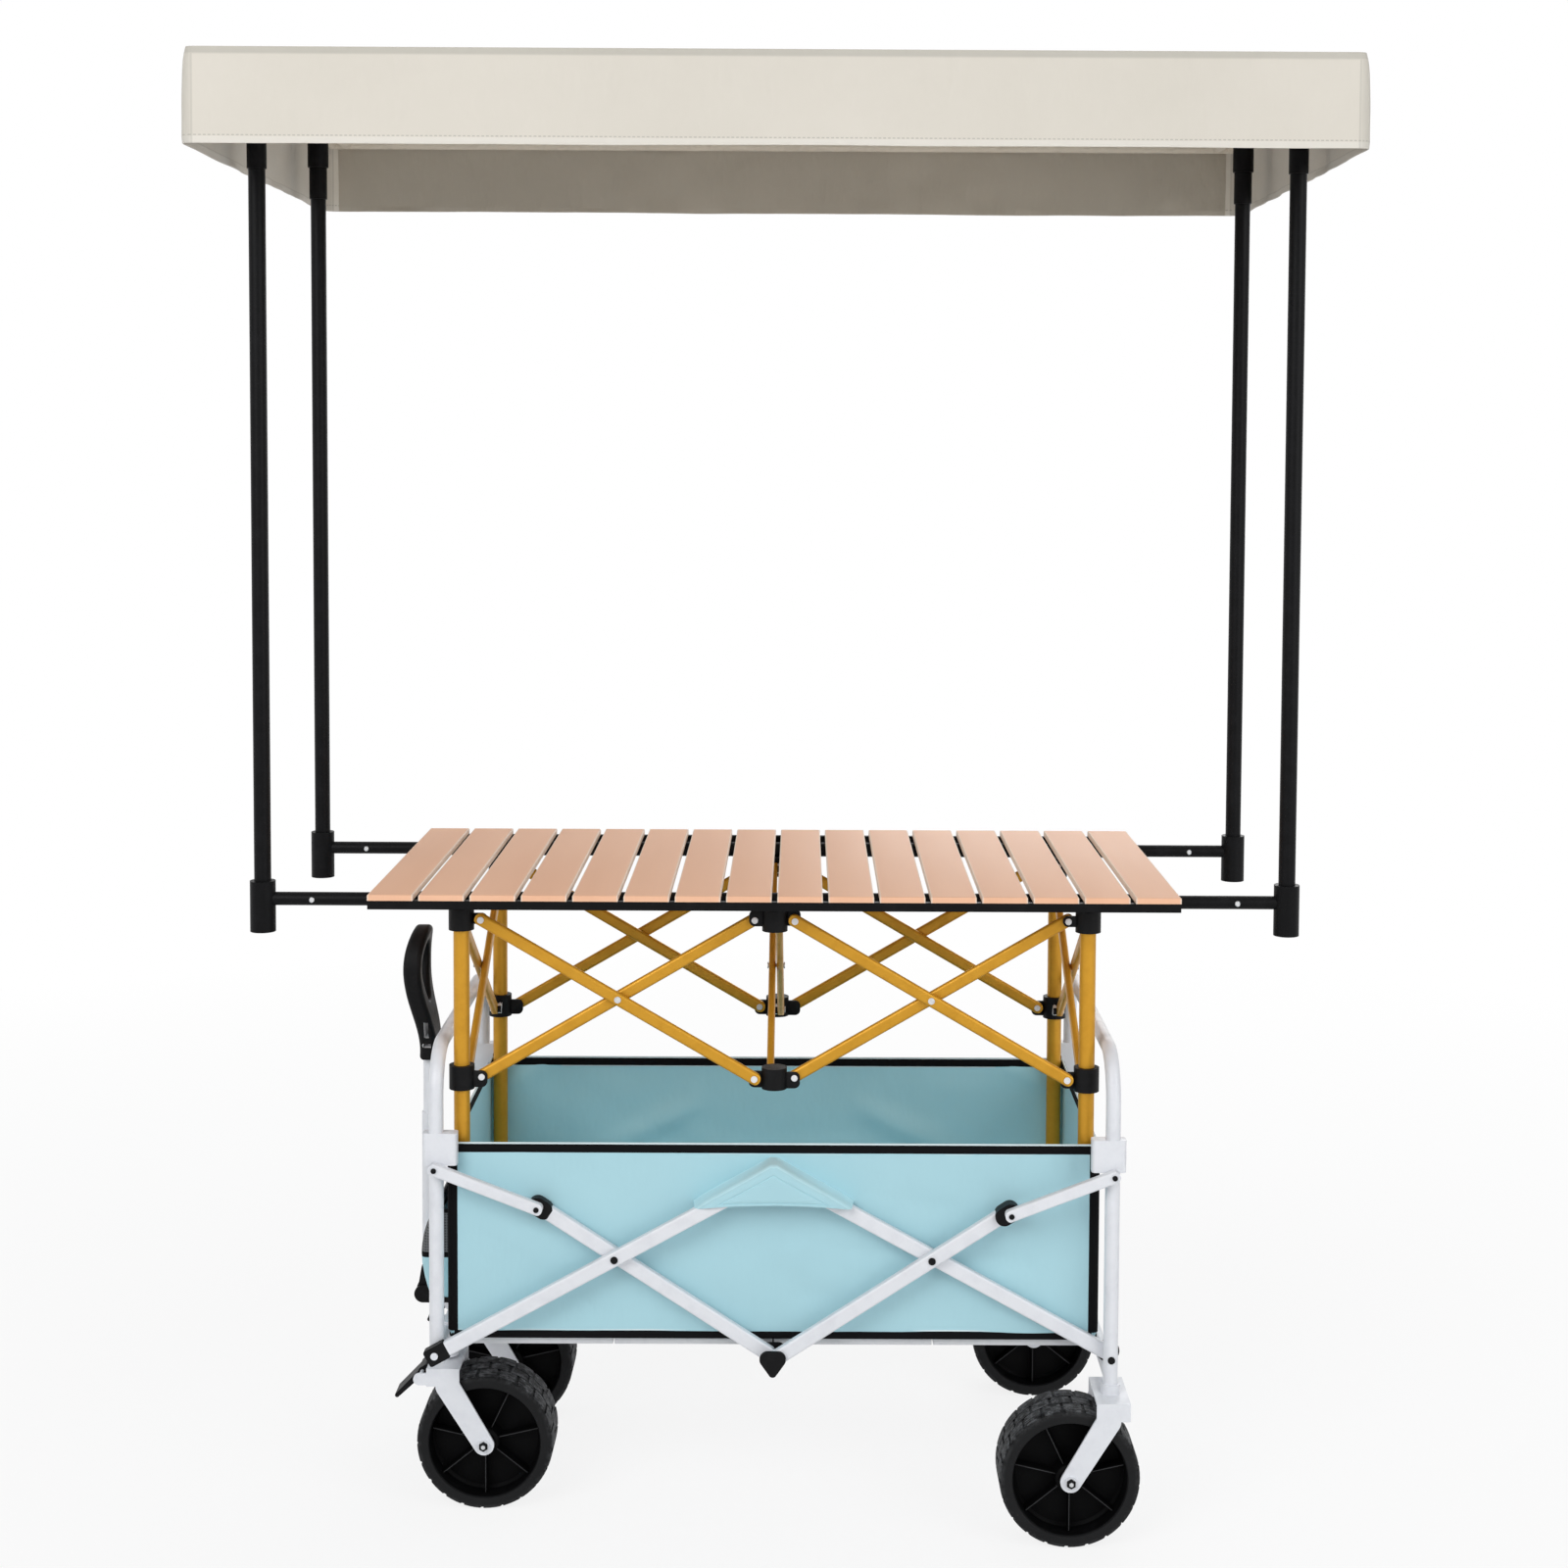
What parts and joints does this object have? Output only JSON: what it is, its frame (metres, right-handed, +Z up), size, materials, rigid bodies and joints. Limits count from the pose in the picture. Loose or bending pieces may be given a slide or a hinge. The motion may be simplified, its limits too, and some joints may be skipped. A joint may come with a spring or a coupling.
{
  "type": "folding market cart",
  "caption": "Folding wagon with a fabric basket that carries a concertina table with a slatted top and a box-shaped cloth canopy on posts.",
  "frame": {"origin": "on the floor under the middle of the canopy", "axes": "+X along the cart away from the pull handle, -Y towards the serving side, +Z up"},
  "size_m": [1.608, 1.008, 2.162],
  "materials": {
    "white_tube": "satin powder coat",
    "black_plastic": "moulded, satin",
    "gold_tube": "anodised, satin",
    "tyre": "matt with worn tread",
    "steel": "zinc plated",
    "aqua_fabric": "coated polyester weave",
    "board": "matt sheet",
    "slat": "printed peach coating",
    "black_tube": "black powder coat",
    "cream_fabric": "coated polyester weave"
  },
  "bodies": {
    "wagon_centre": {"centre_hinge": "black_plastic", "basket": "aqua_fabric", "base_board": "board", "table_pin": "steel"},
    "short_left": {"short_tubes_left": "white_tube"},
    "long_left": {"long_tubes_left": "white_tube"},
    "end_left": {"end_frame_left": "white_tube", "brackets_left": "black_plastic", "end_pocket": "aqua_fabric"},
    "link_left": {"link_tubes_left": "white_tube"},
    "short_right": {"short_tubes_right": "white_tube"},
    "long_right": {"long_tubes_right": "white_tube"},
    "end_right": {"end_frame_right": "white_tube", "brackets_right": "black_plastic"},
    "link_right": {"link_tubes_right": "white_tube"},
    "caster_front": {"caster_fork_front": "white_tube"},
    "pedal_front": {"brake_pedal_front": "black_plastic"},
    "wheel_left_front": {"wheel_left_front": "tyre"},
    "wheel_right_front": {"wheel_right_front": "tyre"},
    "caster_back": {"caster_fork_back": "white_tube"},
    "pedal_back": {"brake_pedal_back": "black_plastic"},
    "wheel_left_back": {"wheel_left_back": "tyre"},
    "wheel_right_back": {"wheel_right_back": "tyre"},
    "handle": {"handle_tube": "white_tube"},
    "grip": {"handle_grip": "black_plastic"},
    "centre_strut_front": {"centre_strut_front": "gold_tube"},
    "centre_strut_back": {"centre_strut_back": "gold_tube"},
    "hub_upper_front": {"hub_upper_front": "black_plastic"},
    "hub_lower_front": {"hub_lower_front": "black_plastic"},
    "strut_down_front_left": {"strut_down_front_left": "gold_tube"},
    "strut_up_front_left": {"strut_up_front_left": "gold_tube"},
    "table_leg_front_left": {"table_leg_front_left": "gold_tube"},
    "slider_front_left": {"slider_front_left": "black_plastic"},
    "strut_down_front_right": {"strut_down_front_right": "gold_tube"},
    "strut_up_front_right": {"strut_up_front_right": "gold_tube"},
    "table_leg_front_right": {"table_leg_front_right": "gold_tube"},
    "slider_front_right": {"slider_front_right": "black_plastic"},
    "hub_upper_back": {"hub_upper_back": "black_plastic"},
    "hub_lower_back": {"hub_lower_back": "black_plastic"},
    "strut_down_back_left": {"strut_down_back_left": "gold_tube"},
    "strut_up_back_left": {"strut_up_back_left": "gold_tube"},
    "table_leg_back_left": {"table_leg_back_left": "gold_tube"},
    "slider_back_left": {"slider_back_left": "black_plastic"},
    "strut_down_back_right": {"strut_down_back_right": "gold_tube"},
    "strut_up_back_right": {"strut_up_back_right": "gold_tube"},
    "table_leg_back_right": {"table_leg_back_right": "gold_tube"},
    "slider_back_right": {"slider_back_right": "black_plastic"},
    "end_strut_front_left": {"end_strut_front_left": "gold_tube"},
    "end_strut_back_left": {"end_strut_back_left": "gold_tube"},
    "end_strut_front_right": {"end_strut_front_right": "gold_tube"},
    "end_strut_back_right": {"end_strut_back_right": "gold_tube"},
    "counter": {"slats": "slat", "rails": "black_tube"},
    "snap_button_front_left": {"snap_button_front_left": "steel"},
    "snap_button_front_right": {"snap_button_front_right": "steel"},
    "snap_button_back_left": {"snap_button_back_left": "steel"},
    "snap_button_back_right": {"snap_button_back_right": "steel"},
    "canopy": {"canopy_posts": "black_tube", "canopy_frame": "black_tube", "canopy_cloth": "cream_fabric"}
  },
  "joints": [
    {"name": "cart_fold", "type": "hinge", "parent": "wagon_centre", "child": "short_left", "pos_m": [-0.0076, 0, 0.272], "axis": [0, 1, 0], "range_deg": [0, 44.5], "deforming": ["basket", "base_board"]},
    {"name": "long_left_cross", "type": "hinge", "parent": "short_left", "child": "long_left", "pos_m": [-0.23522, 0, 0.41981], "axis": [0, 1, 0], "range_deg": [-89.04, 0]},
    {"name": "end_left_turn", "type": "hinge", "parent": "long_left", "child": "end_left", "pos_m": [-0.50164, 0, 0.27383], "axis": [0, 1, 0], "range_deg": [0, 44.52]},
    {"name": "link_left_turn", "type": "hinge", "parent": "end_left", "child": "link_left", "pos_m": [-0.50164, 0, 0.553], "axis": [0, 1, 0], "range_deg": [-89.5, 0]},
    {"name": "short_right_turn", "type": "hinge", "parent": "wagon_centre", "child": "short_right", "pos_m": [0.0076, 0, 0.272], "axis": [0, 1, 0], "range_deg": [-44.52, 0]},
    {"name": "long_right_cross", "type": "hinge", "parent": "short_right", "child": "long_right", "pos_m": [0.23522, 0, 0.41981], "axis": [0, 1, 0], "range_deg": [0, 89.04]},
    {"name": "end_right_turn", "type": "hinge", "parent": "long_right", "child": "end_right", "pos_m": [0.50164, 0, 0.27383], "axis": [0, 1, 0], "range_deg": [-44.52, 0]},
    {"name": "link_right_turn", "type": "hinge", "parent": "end_right", "child": "link_right", "pos_m": [0.50164, 0, 0.553], "axis": [0, 1, 0], "range_deg": [0, 89.5]},
    {"name": "caster_front_swivel", "type": "hinge", "parent": "end_left", "child": "caster_front", "pos_m": [-0.50164, -0.162, 0.236], "axis": [0, 0, 1], "continuous": true},
    {"name": "pedal_front_press", "type": "hinge", "parent": "caster_front", "child": "pedal_front", "pos_m": [-0.53764, -0.162, 0.206], "axis": [0, -1, 0], "range_deg": [0, 18]},
    {"name": "wheel_left_front_spin", "type": "hinge", "parent": "caster_front", "child": "wheel_left_front", "pos_m": [-0.43964, -0.162, 0.104], "axis": [0, 1, 0], "continuous": true},
    {"name": "wheel_right_front_spin", "type": "hinge", "parent": "end_right", "child": "wheel_right_front", "pos_m": [0.43964, -0.288, 0.104], "axis": [0, 1, 0], "continuous": true},
    {"name": "caster_back_swivel", "type": "hinge", "parent": "end_left", "child": "caster_back", "pos_m": [-0.50164, 0.162, 0.236], "axis": [0, 0, 1], "continuous": true},
    {"name": "pedal_back_press", "type": "hinge", "parent": "caster_back", "child": "pedal_back", "pos_m": [-0.53764, 0.162, 0.206], "axis": [0, -1, 0], "range_deg": [0, 18]},
    {"name": "wheel_left_back_spin", "type": "hinge", "parent": "caster_back", "child": "wheel_left_back", "pos_m": [-0.43964, 0.162, 0.104], "axis": [0, 1, 0], "continuous": true},
    {"name": "wheel_right_back_spin", "type": "hinge", "parent": "end_right", "child": "wheel_right_back", "pos_m": [0.43964, 0.288, 0.104], "axis": [0, 1, 0], "continuous": true},
    {"name": "handle_swing", "type": "hinge", "parent": "end_left", "child": "handle", "pos_m": [-0.562, 0, 0.26783], "axis": [0, -1, 0], "range_deg": [0, 100]},
    {"name": "handle_extend", "type": "slide", "parent": "handle", "child": "grip", "axis": [0, 0, 1], "range_m": [0, 0.09]},
    {"name": "centre_front_turn", "type": "hinge", "parent": "wagon_centre", "child": "centre_strut_front", "pos_m": [0, 0, 0.79758], "axis": [1, 0, 0], "range_deg": [-53.43, 0]},
    {"name": "centre_back_turn", "type": "hinge", "parent": "wagon_centre", "child": "centre_strut_back", "pos_m": [0, 0, 0.79758], "axis": [1, 0, 0], "range_deg": [0, 53.43]},
    {"name": "hub_upper_front_level", "type": "hinge", "parent": "centre_strut_front", "child": "hub_upper_front", "pos_m": [0, -0.20402, 0.9168], "axis": [1, 0, 0], "range_deg": [0, 53.43]},
    {"name": "hub_lower_front_level", "type": "hinge", "parent": "centre_strut_back", "child": "hub_lower_front", "pos_m": [0, -0.20402, 0.67836], "axis": [1, 0, 0], "range_deg": [-53.43, 0]},
    {"name": "strut_down_front_left_turn", "type": "hinge", "parent": "hub_upper_front", "child": "strut_down_front_left", "pos_m": [-0.03, -0.23402, 0.9168], "axis": [0, 1, 0], "range_deg": [-53.43, 0]},
    {"name": "slider_front_left_level", "type": "hinge", "parent": "strut_down_front_left", "child": "slider_front_left", "pos_m": [-0.43804, -0.23402, 0.67836], "axis": [0, 1, 0], "range_deg": [0, 53.43]},
    {"name": "strut_up_front_left_turn", "type": "hinge", "parent": "hub_lower_front", "child": "strut_up_front_left", "pos_m": [-0.03, -0.23402, 0.67836], "axis": [0, 1, 0], "range_deg": [0, 53.43]},
    {"name": "table_leg_front_left_level", "type": "hinge", "parent": "strut_up_front_left", "child": "table_leg_front_left", "pos_m": [-0.43804, -0.23402, 0.9168], "axis": [0, 1, 0], "range_deg": [-53.43, 0]},
    {"name": "strut_down_front_right_turn", "type": "hinge", "parent": "hub_upper_front", "child": "strut_down_front_right", "pos_m": [0.03, -0.23402, 0.9168], "axis": [0, 1, 0], "range_deg": [0, 53.43]},
    {"name": "slider_front_right_level", "type": "hinge", "parent": "strut_down_front_right", "child": "slider_front_right", "pos_m": [0.43804, -0.23402, 0.67836], "axis": [0, 1, 0], "range_deg": [-53.43, 0]},
    {"name": "strut_up_front_right_turn", "type": "hinge", "parent": "hub_lower_front", "child": "strut_up_front_right", "pos_m": [0.03, -0.23402, 0.67836], "axis": [0, 1, 0], "range_deg": [-53.43, 0]},
    {"name": "table_leg_front_right_level", "type": "hinge", "parent": "strut_up_front_right", "child": "table_leg_front_right", "pos_m": [0.43804, -0.23402, 0.9168], "axis": [0, 1, 0], "range_deg": [0, 53.43]},
    {"name": "hub_upper_back_level", "type": "hinge", "parent": "centre_strut_back", "child": "hub_upper_back", "pos_m": [0, 0.20402, 0.9168], "axis": [1, 0, 0], "range_deg": [-53.43, 0]},
    {"name": "hub_lower_back_level", "type": "hinge", "parent": "centre_strut_front", "child": "hub_lower_back", "pos_m": [0, 0.20402, 0.67836], "axis": [1, 0, 0], "range_deg": [0, 53.43]},
    {"name": "strut_down_back_left_turn", "type": "hinge", "parent": "hub_upper_back", "child": "strut_down_back_left", "pos_m": [-0.03, 0.23402, 0.9168], "axis": [0, 1, 0], "range_deg": [-53.43, 0]},
    {"name": "slider_back_left_level", "type": "hinge", "parent": "strut_down_back_left", "child": "slider_back_left", "pos_m": [-0.43804, 0.23402, 0.67836], "axis": [0, 1, 0], "range_deg": [0, 53.43]},
    {"name": "strut_up_back_left_turn", "type": "hinge", "parent": "hub_lower_back", "child": "strut_up_back_left", "pos_m": [-0.03, 0.23402, 0.67836], "axis": [0, 1, 0], "range_deg": [0, 53.43]},
    {"name": "table_leg_back_left_level", "type": "hinge", "parent": "strut_up_back_left", "child": "table_leg_back_left", "pos_m": [-0.43804, 0.23402, 0.9168], "axis": [0, 1, 0], "range_deg": [-53.43, 0]},
    {"name": "strut_down_back_right_turn", "type": "hinge", "parent": "hub_upper_back", "child": "strut_down_back_right", "pos_m": [0.03, 0.23402, 0.9168], "axis": [0, 1, 0], "range_deg": [0, 53.43]},
    {"name": "slider_back_right_level", "type": "hinge", "parent": "strut_down_back_right", "child": "slider_back_right", "pos_m": [0.43804, 0.23402, 0.67836], "axis": [0, 1, 0], "range_deg": [-53.43, 0]},
    {"name": "strut_up_back_right_turn", "type": "hinge", "parent": "hub_lower_back", "child": "strut_up_back_right", "pos_m": [0.03, 0.23402, 0.67836], "axis": [0, 1, 0], "range_deg": [-53.43, 0]},
    {"name": "table_leg_back_right_level", "type": "hinge", "parent": "strut_up_back_right", "child": "table_leg_back_right", "pos_m": [0.43804, 0.23402, 0.9168], "axis": [0, 1, 0], "range_deg": [0, 53.43]},
    {"name": "end_strut_front_left_turn", "type": "hinge", "parent": "table_leg_front_left", "child": "end_strut_front_left", "pos_m": [-0.46804, -0.20402, 0.9168], "axis": [1, 0, 0], "range_deg": [-53.43, 0]},
    {"name": "end_strut_back_left_turn", "type": "hinge", "parent": "slider_front_left", "child": "end_strut_back_left", "pos_m": [-0.46804, -0.20402, 0.67836], "axis": [1, 0, 0], "range_deg": [0, 53.43]},
    {"name": "end_strut_front_right_turn", "type": "hinge", "parent": "table_leg_front_right", "child": "end_strut_front_right", "pos_m": [0.46804, -0.20402, 0.9168], "axis": [1, 0, 0], "range_deg": [-53.43, 0]},
    {"name": "end_strut_back_right_turn", "type": "hinge", "parent": "slider_front_right", "child": "end_strut_back_right", "pos_m": [0.46804, -0.20402, 0.67836], "axis": [1, 0, 0], "range_deg": [0, 53.43]},
    {"name": "counter_lift", "type": "slide", "parent": "wagon_centre", "child": "counter", "axis": [0, 0, 1], "range_m": [0, 0.1945]},
    {"name": "snap_button_front_left_press", "type": "slide", "parent": "counter", "child": "snap_button_front_left", "axis": [0, 1, 0], "range_m": [0, 0.0035], "stiffness_N_per_m": 400},
    {"name": "snap_button_front_right_press", "type": "slide", "parent": "counter", "child": "snap_button_front_right", "axis": [0, 1, 0], "range_m": [0, 0.0035], "stiffness_N_per_m": 400},
    {"name": "snap_button_back_left_press", "type": "slide", "parent": "counter", "child": "snap_button_back_left", "axis": [0, 1, 0], "range_m": [0, 0.0035], "stiffness_N_per_m": 400},
    {"name": "snap_button_back_right_press", "type": "slide", "parent": "counter", "child": "snap_button_back_right", "axis": [0, 1, 0], "range_m": [0, 0.0035], "stiffness_N_per_m": 400},
    {"name": "canopy_pull_out", "type": "slide", "parent": "counter", "child": "canopy", "axis": [0, 0, 1], "range_m": [0, 0.05]}
  ],
  "couplings": [
    {"joint": "long_left_cross", "follows": "cart_fold", "ratio": -2},
    {"joint": "end_left_turn", "follows": "cart_fold", "ratio": 1},
    {"joint": "link_left_turn", "follows": "cart_fold", "ratio": -2.0102},
    {"joint": "short_right_turn", "follows": "cart_fold", "ratio": -1},
    {"joint": "long_right_cross", "follows": "cart_fold", "ratio": 2},
    {"joint": "end_right_turn", "follows": "cart_fold", "ratio": -1},
    {"joint": "link_right_turn", "follows": "cart_fold", "ratio": 2.0102},
    {"joint": "centre_front_turn", "follows": "cart_fold", "ratio": -1.2},
    {"joint": "centre_back_turn", "follows": "cart_fold", "ratio": 1.2},
    {"joint": "hub_upper_front_level", "follows": "cart_fold", "ratio": 1.2},
    {"joint": "hub_lower_front_level", "follows": "cart_fold", "ratio": -1.2},
    {"joint": "strut_down_front_left_turn", "follows": "cart_fold", "ratio": -1.2},
    {"joint": "slider_front_left_level", "follows": "cart_fold", "ratio": 1.2},
    {"joint": "strut_up_front_left_turn", "follows": "cart_fold", "ratio": 1.2},
    {"joint": "table_leg_front_left_level", "follows": "cart_fold", "ratio": -1.2},
    {"joint": "strut_down_front_right_turn", "follows": "cart_fold", "ratio": 1.2},
    {"joint": "slider_front_right_level", "follows": "cart_fold", "ratio": -1.2},
    {"joint": "strut_up_front_right_turn", "follows": "cart_fold", "ratio": -1.2},
    {"joint": "table_leg_front_right_level", "follows": "cart_fold", "ratio": 1.2},
    {"joint": "hub_upper_back_level", "follows": "cart_fold", "ratio": -1.2},
    {"joint": "hub_lower_back_level", "follows": "cart_fold", "ratio": 1.2},
    {"joint": "strut_down_back_left_turn", "follows": "cart_fold", "ratio": -1.2},
    {"joint": "slider_back_left_level", "follows": "cart_fold", "ratio": 1.2},
    {"joint": "strut_up_back_left_turn", "follows": "cart_fold", "ratio": 1.2},
    {"joint": "table_leg_back_left_level", "follows": "cart_fold", "ratio": -1.2},
    {"joint": "strut_down_back_right_turn", "follows": "cart_fold", "ratio": 1.2},
    {"joint": "slider_back_right_level", "follows": "cart_fold", "ratio": -1.2},
    {"joint": "strut_up_back_right_turn", "follows": "cart_fold", "ratio": -1.2},
    {"joint": "table_leg_back_right_level", "follows": "cart_fold", "ratio": 1.2},
    {"joint": "end_strut_front_left_turn", "follows": "cart_fold", "ratio": -1.2},
    {"joint": "end_strut_back_left_turn", "follows": "cart_fold", "ratio": 1.2},
    {"joint": "end_strut_front_right_turn", "follows": "cart_fold", "ratio": -1.2},
    {"joint": "end_strut_back_right_turn", "follows": "cart_fold", "ratio": 1.2},
    {"joint": "counter_lift", "follows": "cart_fold", "m_per_rad": 0.25}
  ]
}
